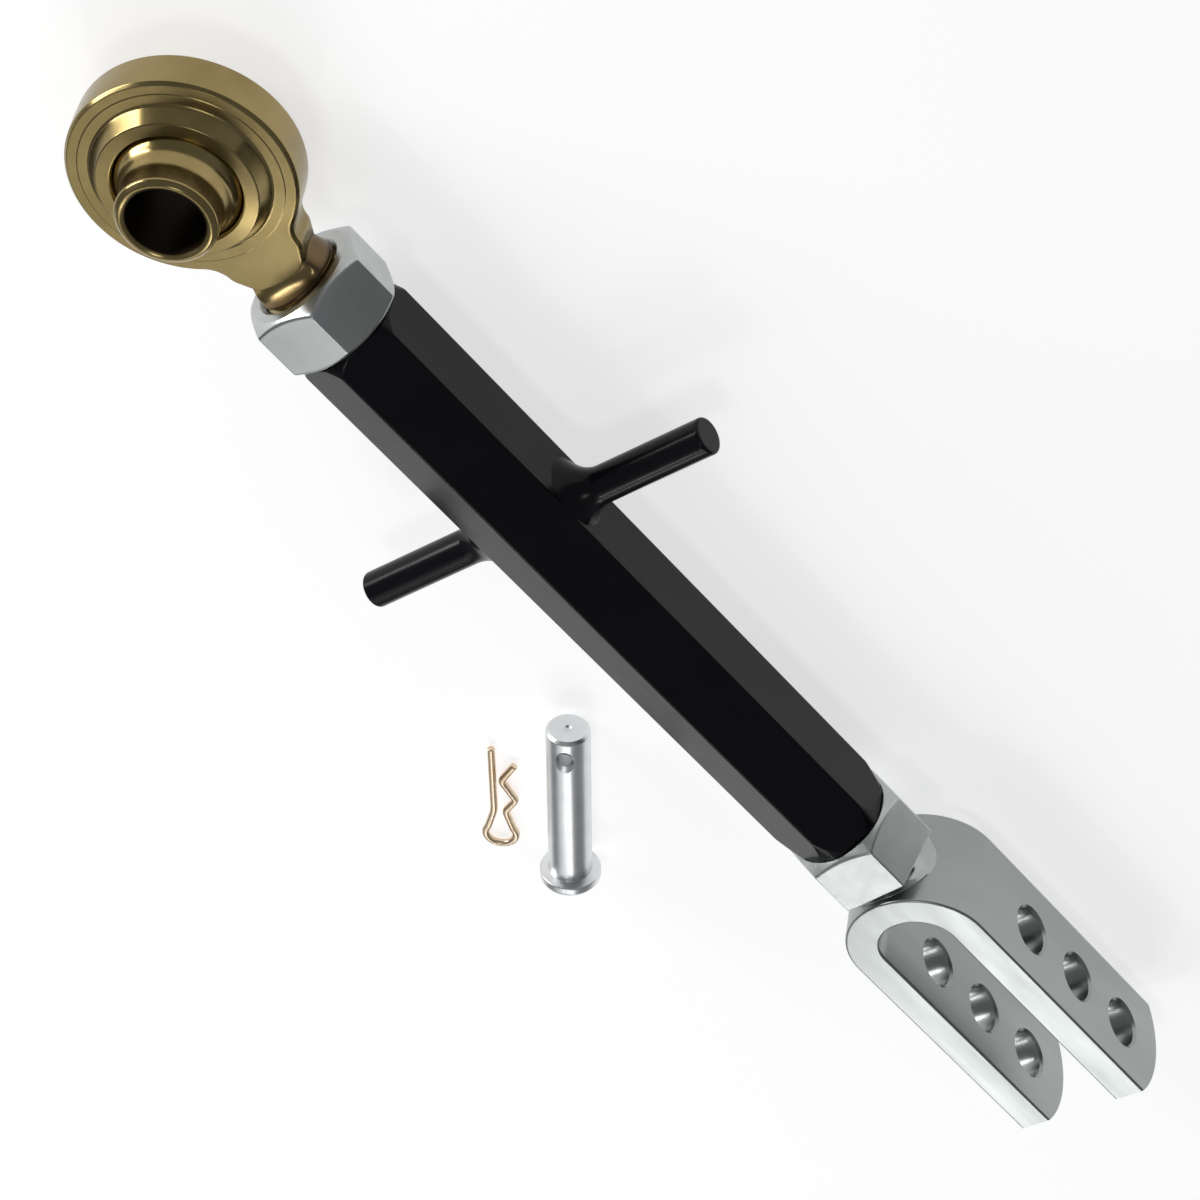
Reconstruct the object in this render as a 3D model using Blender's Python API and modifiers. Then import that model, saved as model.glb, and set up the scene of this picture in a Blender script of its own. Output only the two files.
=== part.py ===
"""Adjustable tractor top link: a turnbuckle with a swivel ball end and a three-hole clevis end.

The link lies along X, with the centre of the swivel ball at the origin and the ball's bore along Z.
The clevis is at the +X end, and its pin holes run along Y.  It is shown screwed right in, with its
clevis pin and hairpin clip lying beside it on the surface that carries the ball's lower end.
Lengths are metres.
"""
import math

import bmesh
import bpy
from mathutils import Matrix, Vector

MM = 0.001

# Threads and clearances
THREAD_D = 22.0 * MM            # outside diameter of both screw threads
RUNNING_GAP = 0.3 * MM          # between a screw and the hole it turns in
SEAT_GAP = 0.3 * MM             # between two pieces that touch
HANDLE_TO_SCREW = 3.6 * MM      # from the cross bar to the end of the ball end's screw

# Barrel, a hexagon bar bored right through
BARREL_WALL = 3.0 * MM          # at the flats
BALL_SIDE_LENGTH = 74.4 * MM    # from the cross bar to the barrel's end at the ball
CLEVIS_SIDE_LENGTH = 133.6 * MM
BALL_SIDE_TAPER = 3.0 * MM      # length of the taper that eases the corners at each end
CLEVIS_SIDE_TAPER = 9.0 * MM
TAPER_DEPTH = 1.6 * MM          # how far a taper takes the corners down
BARREL_COUNTERSINK = 1.0 * MM

# Cross handle and its welds
HANDLE_D = 10.0 * MM
HANDLE_REACH = 55.5 * MM        # from the barrel's axis to each end
HANDLE_EDGE = 0.8 * MM
WELD_RISE = 8.5 * MM            # how far the weld climbs the bar above the barrel's flat
WELD_SPREAD = 6.2 * MM          # how far it spreads from the bar
WELD_SKIRT = 6.5 * MM           # how far it laps down the neighbouring flats

# Lock nuts
NUT_WALL = 4.6 * MM             # from the thread to a flat
NUT_HEIGHT = 18.0 * MM
NUT_CHAMFER = 32.0              # degrees
NUT_FACE_MARGIN = 1.1 * MM      # from a flat to the circle where the chamfer starts
NUT_COUNTERSINK = 1.0 * MM

# Ball end
BORE_D = 19.3 * MM              # takes a category 1 top link pin
SLEEVE_WALL = 2.85 * MM
SLEEVE_LENGTH = 44.0 * MM       # over both ends of the ball
SLEEVE_EDGE = 0.9 * MM
BALL_SHOULDER = 5.5 * MM        # how much larger the ball's radius is than the sleeve's
BALL_GAP = 0.3 * MM             # between the ball and its socket
SWIVEL_ROOM = 2.7 * MM          # round the sleeve, at the lip of the socket
LIP_WIDTH = 4.7 * MM
LIP_BEVEL = 1.5 * MM
EYE_WALL = 10.1 * MM            # round the socket
EYE_THICKNESS = 11.6 * MM
EYE_EDGE = 1.6 * MM
EYE_CROWN = 0.5 * MM            # how far the rim bulges
TONGUE_HALF_WIDTH = 11.6 * MM
TONGUE_FILLET = 7.0 * MM        # hollow between the eye and the tongue
TONGUE_END_HALF_WIDTH = 8.7 * MM    # where its taper ends
TONGUE_TIP_RISE = 2.8 * MM      # height of the arc that ends it
TIP_TO_NUT = 2.1 * MM           # from that arc to the lock nut
NECK_LENGTH = 11.8 * MM         # from the eye's rim to the lock nut
NECK_COLLAR = 1.3 * MM          # length at full size ahead of the lock nut
NECK_WAIST = 1.8 * MM           # how much slimmer the neck is where the tongue starts to taper

# Clevis end
YOKE_GAP = 22.3 * MM
YOKE_THICKNESS = 9.5 * MM
YOKE_WIDTH = 31.8 * MM
YOKE_STANDOFF = 2.7 * MM        # from the lock nut to the crown of the bend
YOKE_EDGE = 0.6 * MM
PIN_HOLE_D = 13.5 * MM
PIN_HOLE_EDGE = 0.8 * MM
BEND_TO_FIRST_HOLE = 23.4 * MM
HOLE_PITCH = 23.6 * MM
HOLE_TO_TIP = 18.2 * MM
TIP_RISE = 5.6 * MM             # height of the arc that ends each arm
SCREW_ENGAGEMENT = 62.0 * MM    # of the clevis end's screw in the barrel
STUD_WELD_WIDTH = 3.0 * MM
WELD_TO_NUT = 0.5 * MM

# Clevis pin
PIN_D = 12.7 * MM
PIN_LENGTH = 57.0 * MM          # under the head
PIN_EDGE = 0.9 * MM
PIN_HEAD_D = 17.8 * MM
PIN_HEAD_HEIGHT = 4.2 * MM
PIN_HEAD_EDGE = 1.3 * MM
CROSS_HOLE_D = 4.8 * MM
CROSS_HOLE_EDGE = 0.9 * MM
CROSS_HOLE_TO_TIP = 7.6 * MM
PIN_CENTRE_D = 2.2 * MM         # lathe centre in the tip

# Hairpin clip
WIRE_D = 2.2 * MM
CLIP_LEG = 31.0 * MM            # straight leg
CLIP_LOOP_R = 4.5 * MM
CLIP_NECK = 3.3 * MM            # between the two legs where the loop closes
CLIP_BOW = 6.6 * MM             # from the straight leg to the bow round the pin
CLIP_BOW_AT = 21.6 * MM         # these four are measured along the leg from its free end
CLIP_PINCH_AT = 13.7 * MM
CLIP_FLARE = 6.6 * MM
CLIP_FLARE_AT = 6.6 * MM

# Where the loose pieces lie
LOOSE_ANGLE = -37.4             # degrees, direction of the pin and the clip in plan
PIN_TIP_AT = (213.2 * MM, -56.7 * MM)
CLIP_END_AT = (213.3 * MM, -86.3 * MM)

ROUND = 48                      # sides of a large round piece
SMALL_ROUND = 24

# Derived sizes
THREAD_R = THREAD_D / 2
SCREW_HOLE_R = THREAD_R + RUNNING_GAP
BARREL_FLATS = 2 * (SCREW_HOLE_R + BARREL_WALL)
BARREL_CORNER_R = BARREL_FLATS / math.sqrt(3)
BARREL_LENGTH = BALL_SIDE_LENGTH + CLEVIS_SIDE_LENGTH
HANDLE_R = HANDLE_D / 2
NUT_FLATS = 2 * (SCREW_HOLE_R + NUT_WALL)
NUT_CORNER_R = NUT_FLATS / math.sqrt(3)
BORE_R = BORE_D / 2
SLEEVE_R = BORE_R + SLEEVE_WALL
BALL_R = SLEEVE_R + BALL_SHOULDER
SOCKET_R = BALL_R + BALL_GAP
LIP_R = SLEEVE_R + SWIVEL_ROOM
BOSS_HALF = math.sqrt(SOCKET_R ** 2 - LIP_R ** 2)
EYE_R = SOCKET_R + EYE_WALL
EYE_HALF = EYE_THICKNESS / 2
YOKE_OUTER = YOKE_GAP / 2 + YOKE_THICKNESS
PIN_R = PIN_D / 2
PIN_HEAD_R = PIN_HEAD_D / 2

# Stations along the link
X_NUT_BALL = EYE_R + NECK_LENGTH
X_TONGUE_TIP = X_NUT_BALL - TIP_TO_NUT
X_BARREL = X_NUT_BALL + NUT_HEIGHT + SEAT_GAP
X_HANDLE = X_BARREL + BALL_SIDE_LENGTH
X_BARREL_END = X_BARREL + BARREL_LENGTH
X_NUT_CLEVIS = X_BARREL_END + SEAT_GAP
X_CROWN = X_NUT_CLEVIS + NUT_HEIGHT + YOKE_STANDOFF
X_BEND = X_CROWN + YOKE_OUTER
X_FIRST_HOLE = X_BEND + BEND_TO_FIRST_HOLE
X_TIP = X_FIRST_HOLE + 2 * HOLE_PITCH + HOLE_TO_TIP
FLOOR = -max(SLEEVE_LENGTH / 2, NUT_CORNER_R, YOKE_WIDTH / 2, BOSS_HALF)

PARTS = "tractor_top_link"
CUTTERS = "cutters"

# Turns a piece that was modelled upright until its length lies along the link
ALONG_X = (0, math.pi / 2, 0)
ALONG_Y = (-math.pi / 2, 0, 0)


def clear_scene():
    for obj in list(bpy.data.objects):
        bpy.data.objects.remove(obj, do_unlink=True)
    for name in (PARTS, CUTTERS):
        bpy.context.scene.collection.children.link(bpy.data.collections.new(name))


def finish(name, colour, roughness, metallic):
    """A plain Principled material."""
    mat = bpy.data.materials.new(name)
    mat.use_nodes = True
    shader = mat.node_tree.nodes["Principled BSDF"]
    shader.inputs["Base Color"].default_value = (*colour, 1)
    shader.inputs["Roughness"].default_value = roughness
    shader.inputs["Metallic"].default_value = metallic
    mat.diffuse_color = (*colour, 1)
    return mat


def add_object(name, data, material=None, location=(0, 0, 0), rotation=(0, 0, 0), parent=None):
    """Links a part, or a cutter where no material is given."""
    obj = bpy.data.objects.new(name, data)
    obj.location = location
    obj.rotation_euler = rotation
    if material:
        obj.data.materials.append(material)
        bpy.data.collections[PARTS].objects.link(obj)
    else:
        obj.hide_render = True
        obj.display_type = 'WIRE'
        bpy.data.collections[CUTTERS].objects.link(obj)
    if parent:
        obj.parent = parent
    return obj


def pivot(name, location, parent=None):
    empty = bpy.data.objects.new(name, None)
    empty.location = location
    empty.empty_display_size = 10 * MM
    bpy.data.collections[PARTS].objects.link(empty)
    if parent:
        empty.parent = parent
    return empty


def turned(name, profile, sides=ROUND, closed=False, half_step=False, **place):
    """A profile of (radius, height) points spun about Z.  Its outer side runs from top to bottom.

    A cutter that meets corners is turned by half a side, so that its own ridges miss them.
    """
    bm = bmesh.new()
    verts = [bm.verts.new((radius, 0, height)) for radius, height in profile]
    for first, second in zip(verts, verts[1:]):
        bm.edges.new((first, second))
    if closed:
        bm.edges.new((verts[-1], verts[0]))
    mesh = bpy.data.meshes.new(name)
    bm.to_mesh(mesh)
    bm.free()
    obj = add_object(name, mesh, **place)
    spin = obj.modifiers.new("spin", 'SCREW')
    spin.steps = sides
    spin.render_steps = sides
    spin.use_merge_vertices = True
    spin.merge_threshold = 0.00001
    spin.use_smooth_shade = True
    if half_step:
        obj.rotation_euler.rotate_axis('Z', math.pi / sides)
    return obj


def hexagon(name, flats, length, turn, **place):
    """A hexagon bar along its own Z, with a corner `turn` degrees round from its Y."""
    bm = bmesh.new()
    radius = flats / math.sqrt(3)
    bmesh.ops.create_cone(bm, cap_ends=True, segments=6, radius1=radius, radius2=radius, depth=length,
                          matrix=Matrix.Rotation(math.radians(turn), 4, 'Z'))
    mesh = bpy.data.meshes.new(name)
    bm.to_mesh(mesh)
    bm.free()
    return add_object(name, mesh, **place)


def slab(name, outline, thickness, rotation=(0, 0, 0), location=(0, 0, 0), material=None, parent=None):
    """A flat outline of (x, y) points given a thickness, as a mesh."""
    curve = bpy.data.curves.new(name, 'CURVE')
    curve.dimensions = '2D'
    curve.fill_mode = 'BOTH'
    curve.extrude = thickness / 2
    spline = curve.splines.new('POLY')
    spline.points.add(len(outline) - 1)
    for point, (x, y) in zip(spline.points, outline):
        point.co = (x, y, 0, 1)
    spline.use_cyclic_u = True
    return curve_to_mesh(name, curve, material, location, rotation, parent)


def curve_to_mesh(name, curve, material, location, rotation, parent):
    """Turns a curve into a closed mesh object with its caps welded on."""
    guide = add_object(name + "_curve", curve)
    bpy.context.view_layer.update()
    depsgraph = bpy.context.evaluated_depsgraph_get()
    mesh = bpy.data.meshes.new_from_object(guide.evaluated_get(depsgraph))
    bpy.data.objects.remove(guide, do_unlink=True)
    mesh.name = name
    bm = bmesh.new()
    bm.from_mesh(mesh)
    bmesh.ops.remove_doubles(bm, verts=bm.verts, dist=0.00001)
    bmesh.ops.recalc_face_normals(bm, faces=bm.faces)
    bm.to_mesh(mesh)
    bm.free()
    return add_object(name, mesh, material, location, rotation, parent)


def shape(obj, tool, operation='DIFFERENCE'):
    cut = obj.modifiers.new(tool.name, 'BOOLEAN')
    cut.operation = operation
    cut.object = tool
    cut.solver = 'EXACT'


def arc(centre, radius, start, end, steps):
    """Points on an arc, with its angles in degrees."""
    points = []
    for step in range(steps + 1):
        angle = math.radians(start + (end - start) * step / steps)
        points.append((centre[0] + radius * math.cos(angle), centre[1] + radius * math.sin(angle)))
    return points


def drilled(name, radius, depth, edge, sides=SMALL_ROUND, **place):
    """A drill's shape centred on its middle, with a countersink where each end breaks out."""
    wide = radius + edge
    over = 2 * MM
    half = depth / 2
    rim = wide + 1 * MM
    profile = [(0, half + over), (rim, half + over), (rim, half + 1 * MM), (radius, half - edge),
               (radius, edge - half), (rim, -half - 1 * MM), (rim, -half - over), (0, -half - over)]
    return turned(name, profile, sides, **place)


def barrel(material, axis):
    """Hexagon bar with tapered ends, bored through for the screws and across for the handle."""
    middle = BARREL_LENGTH / 2
    bar = hexagon("hex_barrel", BARREL_FLATS, BARREL_LENGTH, 30, material=material, rotation=ALONG_X, parent=axis)
    end_r = BARREL_CORNER_R - TAPER_DEPTH
    wide = BARREL_CORNER_R + 1 * MM
    over = 1 * MM
    clevis_slope = TAPER_DEPTH / CLEVIS_SIDE_TAPER
    ball_slope = TAPER_DEPTH / BALL_SIDE_TAPER
    envelope = turned("barrel_turning", [(0, middle + over), (end_r - over * clevis_slope, middle + over),
                                         (wide, middle - (wide - end_r) / clevis_slope),
                                         (wide, (wide - end_r) / ball_slope - middle),
                                         (end_r - over * ball_slope, -middle - over), (0, -middle - over)],
                      half_step=True, rotation=ALONG_X, parent=axis)
    shape(bar, envelope, 'INTERSECT')
    shape(bar, drilled("barrel_bore", SCREW_HOLE_R, BARREL_LENGTH, BARREL_COUNTERSINK, ROUND, rotation=ALONG_X,
                       parent=axis))
    across = (X_HANDLE - X_BARREL - middle, 0, 0)
    shape(bar, drilled("handle_hole", HANDLE_R + SEAT_GAP, BARREL_FLATS, 0, rotation=ALONG_Y, location=across,
                       parent=axis))
    return bar


def handle(material, axis):
    """Round bar through the barrel, with a flared weld round it on each flat that it leaves."""
    across = (X_HANDLE - X_BARREL - BARREL_LENGTH / 2, 0, 0)
    flat = BARREL_FLATS / 2
    end = HANDLE_REACH
    turned("handle_bar", [(0, end), (HANDLE_R - HANDLE_EDGE, end), (HANDLE_R, end - HANDLE_EDGE),
                          (HANDLE_R, HANDLE_EDGE - end), (HANDLE_R - HANDLE_EDGE, -end), (0, -end)],
           SMALL_ROUND, material=material, rotation=ALONG_Y, location=across, parent=axis)
    inner = HANDLE_R + SEAT_GAP
    top = flat + WELD_RISE
    outer = inner + WELD_SPREAD
    corner = 0.5 * MM
    flare = [(inner + corner + (WELD_SPREAD - corner) * (1 - math.cos(angle)), top - WELD_RISE * math.sin(angle))
             for angle in (math.radians(15 * step) for step in range(7))]
    profile = [(inner, top)] + flare + [(outer + 1.2 * MM, flat - WELD_SKIRT), (inner, flat - WELD_SKIRT)]
    for name, turn in (("handle_weld_right", -math.pi / 2), ("handle_weld_left", math.pi / 2)):
        weld = turned(name, profile, 32, closed=True, half_step=True, material=material,
                      rotation=(turn, 0, 0), location=across, parent=axis)
        seat = hexagon(name + "_seat", BARREL_FLATS + 2 * SEAT_GAP, BARREL_LENGTH, 30, rotation=ALONG_X,
                       parent=axis)
        shape(weld, seat)


def lock_nut(name, turn, chamfers, material, axis):
    """Hexagon nut along X.  `chamfers` tells which of its two faces, low X and high X, are chamfered."""
    half = NUT_HEIGHT / 2
    nut = hexagon(name, NUT_FLATS, NUT_HEIGHT, turn, material=material, rotation=ALONG_X, parent=axis)
    over = 2 * MM
    slope = math.tan(math.radians(NUT_CHAMFER))
    face_r = NUT_FLATS / 2 - NUT_FACE_MARGIN
    wide = NUT_CORNER_R + 1 * MM
    fall = (wide - face_r) * slope
    low, high = chamfers
    profile = [(0, half + over)]
    profile += [(face_r - over / slope, half + over), (wide, half - fall)] if high else [(wide, half + over)]
    profile += [(wide, fall - half), (face_r - over / slope, -half - over)] if low else [(wide, -half - over)]
    profile += [(0, -half - over)]
    chamfer = turned(name + "_chamfer", profile, half_step=True, rotation=ALONG_X, parent=axis)
    shape(nut, chamfer, 'INTERSECT')
    shape(nut, drilled(name + "_thread", SCREW_HOLE_R, NUT_HEIGHT, NUT_COUNTERSINK, ROUND, rotation=ALONG_X,
                       parent=axis))
    return nut


def eye_profile():
    """Outside of the eye, from the top of its boss round the rim to the bottom of its boss."""
    boss_r = LIP_R + LIP_WIDTH
    bevel_r = boss_r + LIP_BEVEL
    face_r = EYE_R - EYE_EDGE
    upper = [(0, BOSS_HALF), (boss_r, BOSS_HALF), (bevel_r, EYE_HALF), (face_r, EYE_HALF),
             (face_r + EYE_EDGE * 0.55, EYE_HALF - EYE_EDGE * 0.2),
             (EYE_R - EYE_CROWN, EYE_HALF - EYE_EDGE), (EYE_R - EYE_CROWN * 0.25, EYE_HALF / 2)]
    return upper + [(EYE_R, 0)] + [(radius, -height) for radius, height in reversed(upper)]


def tongue_outline(inset):
    """Plan of the flat that joins the eye to its neck: hollowed where it leaves the eye, then tapered."""
    half = TONGUE_HALF_WIDTH - inset
    fillet = TONGUE_FILLET + inset
    hollow = (math.sqrt((EYE_R + TONGUE_FILLET) ** 2 - (half + fillet) ** 2), half + fillet)
    touch = math.degrees(math.atan2(-hollow[1], -hollow[0]))
    side = arc(hollow, fillet, touch, -90, 6)
    end_half = TONGUE_END_HALF_WIDTH - inset
    tip_r = (end_half ** 2 + TONGUE_TIP_RISE ** 2) / (2 * TONGUE_TIP_RISE)
    tip = arc((X_TONGUE_TIP - inset - tip_r, 0), tip_r, math.degrees(math.asin(end_half / tip_r)), 0, 6)
    upper = [(0, EYE_R / 2)] + side + tip
    return upper + [(x, -y) for x, y in reversed(upper[:-1])]


def ball_end(material, axis):
    """One forging: eye with a spherical socket, flat tongue, round neck and screw."""
    end = X_HANDLE - HANDLE_R - HANDLE_TO_SCREW
    screw_edge = 2 * MM
    over = 2 * MM
    collar = X_NUT_BALL - NECK_COLLAR
    waist_r = THREAD_R - NECK_WAIST
    root = EYE_R - EYE_WALL / 2
    neck = turned("neck_and_screw", [(0, end), (THREAD_R - screw_edge, end), (THREAD_R, end - screw_edge),
                                     (THREAD_R, collar), (THREAD_R - NECK_WAIST * 0.3, collar - NECK_LENGTH * 0.15),
                                     (waist_r, EYE_R + NECK_LENGTH * 0.3), (waist_r, root), (0, root)],
                  rotation=ALONG_X, parent=axis)
    flat = EYE_HALF - 0.6 * MM
    for name, side in (("upper", 1), ("lower", -1)):
        pocket = slab(f"neck_flat_{name}", tongue_outline(0.3 * MM), THREAD_R,
                      location=(0, 0, side * (flat + THREAD_R / 2)), parent=axis)
        shape(neck, pocket)
    forging = turned("ball_end_forging", eye_profile(), material=material, parent=axis)
    shape(forging, slab("tongue_flat", tongue_outline(0), EYE_THICKNESS - 0.4 * MM, parent=axis), 'UNION')
    shape(forging, neck, 'UNION')
    rim = math.degrees(math.acos((BOSS_HALF + 0.3 * MM) / SOCKET_R))
    opening = SOCKET_R * math.sin(math.radians(rim))
    cut = [(0, BOSS_HALF + over), (opening, BOSS_HALF + over)]
    cut += arc((0, 0), SOCKET_R, 90 - rim, rim - 90, 14) + [(opening, -BOSS_HALF - over), (0, -BOSS_HALF - over)]
    shape(forging, turned("socket", cut, parent=axis))


def swivel_ball(material, axis):
    """Ball with a long sleeve at each side, bored for the top link pin."""
    half = SLEEVE_LENGTH / 2
    root = math.degrees(math.asin(SLEEVE_R / BALL_R))
    edge_r = SLEEVE_R - SLEEVE_EDGE
    bore_edge = BORE_R + SLEEVE_EDGE / 2
    sphere = arc((0, 0), BALL_R, 88 - root, root - 88, 12)
    foot = BALL_R * math.cos(math.radians(root)) + 0.5 * MM
    outer = [(edge_r, half), (SLEEVE_R, half - SLEEVE_EDGE), (SLEEVE_R, foot)]
    outer += sphere + [(radius, -height) for radius, height in reversed(outer)]
    inner = [(bore_edge, -half), (BORE_R, -half + SLEEVE_EDGE / 2), (BORE_R, half - SLEEVE_EDGE / 2),
             (bore_edge, half)]
    return turned("swivel_ball", outer + inner, closed=True, material=material, parent=axis)


def yoke_outline():
    """Side of the bent bar: a half circle round the crown, and two straight arms."""
    inner = YOKE_GAP / 2
    over = X_TIP + 2 * MM
    outer_bend = arc((X_BEND, 0), YOKE_OUTER, -90, -270, 24)
    inner_bend = arc((X_BEND, 0), inner, 90, 270, 20)
    return [(over, -YOKE_OUTER)] + outer_bend + [(over, YOKE_OUTER), (over, inner)] + inner_bend + [(over, -inner)]


def arm_outline():
    """Plan of both arms: the bar's width, ended by a shallow arc with eased corners."""
    half = YOKE_WIDTH / 2
    radius = (half ** 2 + TIP_RISE ** 2) / (2 * TIP_RISE)
    centre = X_TIP - radius
    spread = math.degrees(math.asin(half / radius))
    tip = arc((centre, 0), radius, -spread, spread, 14)
    back = X_CROWN - 2 * MM
    return [(back, -half)] + tip + [(back, half)]


def clevis(material, axis):
    """Bar bent to a U, with three pin holes through both arms and a hole in the crown for the screw."""
    yoke = slab("clevis_yoke", yoke_outline(), YOKE_WIDTH, material=material, parent=axis)
    plan = slab("arm_plan", arm_outline(), 2 * YOKE_OUTER + 4 * MM, rotation=(math.pi / 2, 0, 0), parent=axis)
    shape(yoke, plan, 'INTERSECT')
    for index in range(3):
        station = X_FIRST_HOLE + index * HOLE_PITCH
        for side, name in ((1, "right"), (-1, "left")):
            hole = drilled(f"pin_hole_{name}_{index + 1}", PIN_HOLE_D / 2, YOKE_THICKNESS, PIN_HOLE_EDGE,
                           rotation=ALONG_Y, location=(station, side * (YOKE_OUTER - YOKE_THICKNESS / 2), 0),
                           parent=axis)
            shape(yoke, hole)
    crown = turned("screw_hole", [(0, YOKE_OUTER), (SCREW_HOLE_R, YOKE_OUTER), (SCREW_HOLE_R, -YOKE_OUTER),
                                  (0, -YOKE_OUTER)], rotation=ALONG_X, location=(X_CROWN, 0, 0), parent=axis)
    shape(yoke, crown)
    return yoke


def clevis_screw(material, axis):
    """Screw that stands in the crown of the yoke, and the weld that holds it there."""
    start = X_BARREL_END - SCREW_ENGAGEMENT
    end = X_CROWN + YOKE_THICKNESS
    edge = 2 * MM
    turned("clevis_stud", [(0, end), (THREAD_R, end), (THREAD_R, start + edge), (THREAD_R - edge, start),
                           (0, start)], material=material, rotation=ALONG_X, parent=axis)
    rise = YOKE_STANDOFF - WELD_TO_NUT
    top = X_CROWN - rise
    outer = SCREW_HOLE_R + STUD_WELD_WIDTH
    drop = YOKE_OUTER - math.sqrt(YOKE_OUTER ** 2 - outer ** 2)
    bottom = X_CROWN + drop + 1 * MM
    weld = turned("stud_weld", [(SCREW_HOLE_R, bottom), (SCREW_HOLE_R, top), (outer - STUD_WELD_WIDTH * 0.7, top),
                                (outer - STUD_WELD_WIDTH * 0.3, X_CROWN - rise * 0.6), (outer, X_CROWN),
                                (outer, bottom)],
                  closed=True, material=material, rotation=ALONG_X, parent=axis)
    seat = YOKE_OUTER + SEAT_GAP
    shape(weld, turned("crown_seat", [(0, YOKE_WIDTH), (seat, YOKE_WIDTH), (seat, -YOKE_WIDTH), (0, -YOKE_WIDTH)],
                       2 * ROUND, location=(X_BEND, 0, 0), parent=axis))


def clevis_pin(material, root):
    """Headed pin lying on the rim of its head and on its tip."""
    tilt = math.atan2(PIN_HEAD_R - PIN_R, PIN_LENGTH - PIN_EDGE)
    rest = pivot("pin_rest", (*PIN_TIP_AT, FLOOR), root)
    rest.rotation_euler = (0, 0, math.radians(LOOSE_ANGLE))
    height = PIN_R * math.cos(tilt) + PIN_EDGE * math.sin(tilt)
    head = PIN_LENGTH + PIN_HEAD_HEIGHT
    centre_r = PIN_CENTRE_D / 2
    ease = PIN_HEAD_EDGE * 0.3
    profile = [(0, head), (PIN_HEAD_R - PIN_HEAD_EDGE, head), (PIN_HEAD_R - ease, head - ease),
               (PIN_HEAD_R, head - PIN_HEAD_EDGE), (PIN_HEAD_R, PIN_LENGTH), (PIN_R, PIN_LENGTH),
               (PIN_R, PIN_EDGE), (PIN_R - PIN_EDGE, 0), (centre_r, 0), (0, centre_r)]
    pin = turned("clevis_pin", profile, SMALL_ROUND, material=material, location=(0, 0, height),
                 rotation=(0, math.pi / 2 - tilt, 0), parent=rest)
    hole = drilled("cross_hole", CROSS_HOLE_D / 2, PIN_D, CROSS_HOLE_EDGE, 20,
                   location=(CROSS_HOLE_TO_TIP * math.cos(tilt), 0, height + CROSS_HOLE_TO_TIP * math.sin(tilt)),
                   rotation=(0, -tilt, 0), parent=rest)
    shape(pin, hole)


def smooth_route(points, spacing):
    """Points at about an even spacing on a smooth curve through the points given."""
    padded = [points[0] * 2 - points[1]] + points + [points[-1] * 2 - points[-2]]
    route = []
    for before, first, second, after in zip(padded, padded[1:], padded[2:], padded[3:]):
        steps = max(1, round((second - first).length / spacing))
        for step in range(steps):
            t = step / steps
            route.append(0.5 * (2 * first + (second - before) * t
                                + (2 * before - 5 * first + 4 * second - after) * t ** 2
                                + (3 * first - before - 3 * second + after) * t ** 3))
    return route + [points[-1]]


def clip_route():
    """Centre line of the wire: the straight leg, the closed loop, and the bowed leg with its flare."""
    loop_y = CLIP_NECK / 2
    neck_angle = math.degrees(math.asin(min(1, loop_y / CLIP_LOOP_R)))
    loop_x = CLIP_LEG + CLIP_LOOP_R * math.cos(math.radians(neck_angle)) + 1.5 * MM
    pinch = WIRE_D + SEAT_GAP
    route = [Vector((0, 0, 0)), Vector((CLIP_LEG * 0.5, 0, 0)), Vector((CLIP_LEG - 2 * MM, 0, 0))]
    route += [Vector((x, y, 0)) for x, y in arc((loop_x, loop_y), CLIP_LOOP_R, 205 + neck_angle / 2,
                                                515 - neck_angle / 2, 9)]
    route += [Vector((CLIP_LEG - 2 * MM, CLIP_NECK + 0.3 * MM, 0)), Vector((CLIP_BOW_AT, CLIP_BOW, 0)),
              Vector((CLIP_PINCH_AT, pinch, 0)), Vector((CLIP_FLARE_AT, CLIP_FLARE, 0))]
    return smooth_route(route, WIRE_D * 0.7)


def hairpin_clip(material, root):
    """Spring wire clip lying flat."""
    curve = bpy.data.curves.new("hairpin_clip", 'CURVE')
    curve.dimensions = '3D'
    curve.bevel_depth = WIRE_D / 2
    curve.bevel_resolution = 2
    curve.use_fill_caps = True
    spline = curve.splines.new('POLY')
    route = clip_route()
    spline.points.add(len(route) - 1)
    for point, place in zip(spline.points, route):
        point.co = (*place, 1)
    curve_to_mesh("hairpin_clip", curve, material, (*CLIP_END_AT, FLOOR + WIRE_D / 2),
                  (0, 0, math.radians(LOOSE_ANGLE)), root)


def centre_on_floor(root):
    """Moves everything so that the origin is at the middle of the underside of the whole part."""
    bpy.context.view_layer.update()
    depsgraph = bpy.context.evaluated_depsgraph_get()
    places = []
    for obj in bpy.data.collections[PARTS].objects:
        if obj.type == 'MESH':
            shown = obj.evaluated_get(depsgraph)
            places += [obj.matrix_world @ vert.co for vert in shown.to_mesh().vertices]
            shown.to_mesh_clear()
    low = [min(place[axis] for place in places) for axis in range(3)]
    high = [max(place[axis] for place in places) for axis in range(3)]
    root.location = (-(low[0] + high[0]) / 2, -(low[1] + high[1]) / 2, -low[2])


def shade_round():
    """Smooth shading that keeps the edges sharper than 35 degrees."""
    for obj in bpy.data.collections[PARTS].objects:
        if obj.type == 'MESH':
            obj.data.shade_smooth()
            obj.data.set_sharp_from_angle(angle=math.radians(35))


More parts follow.
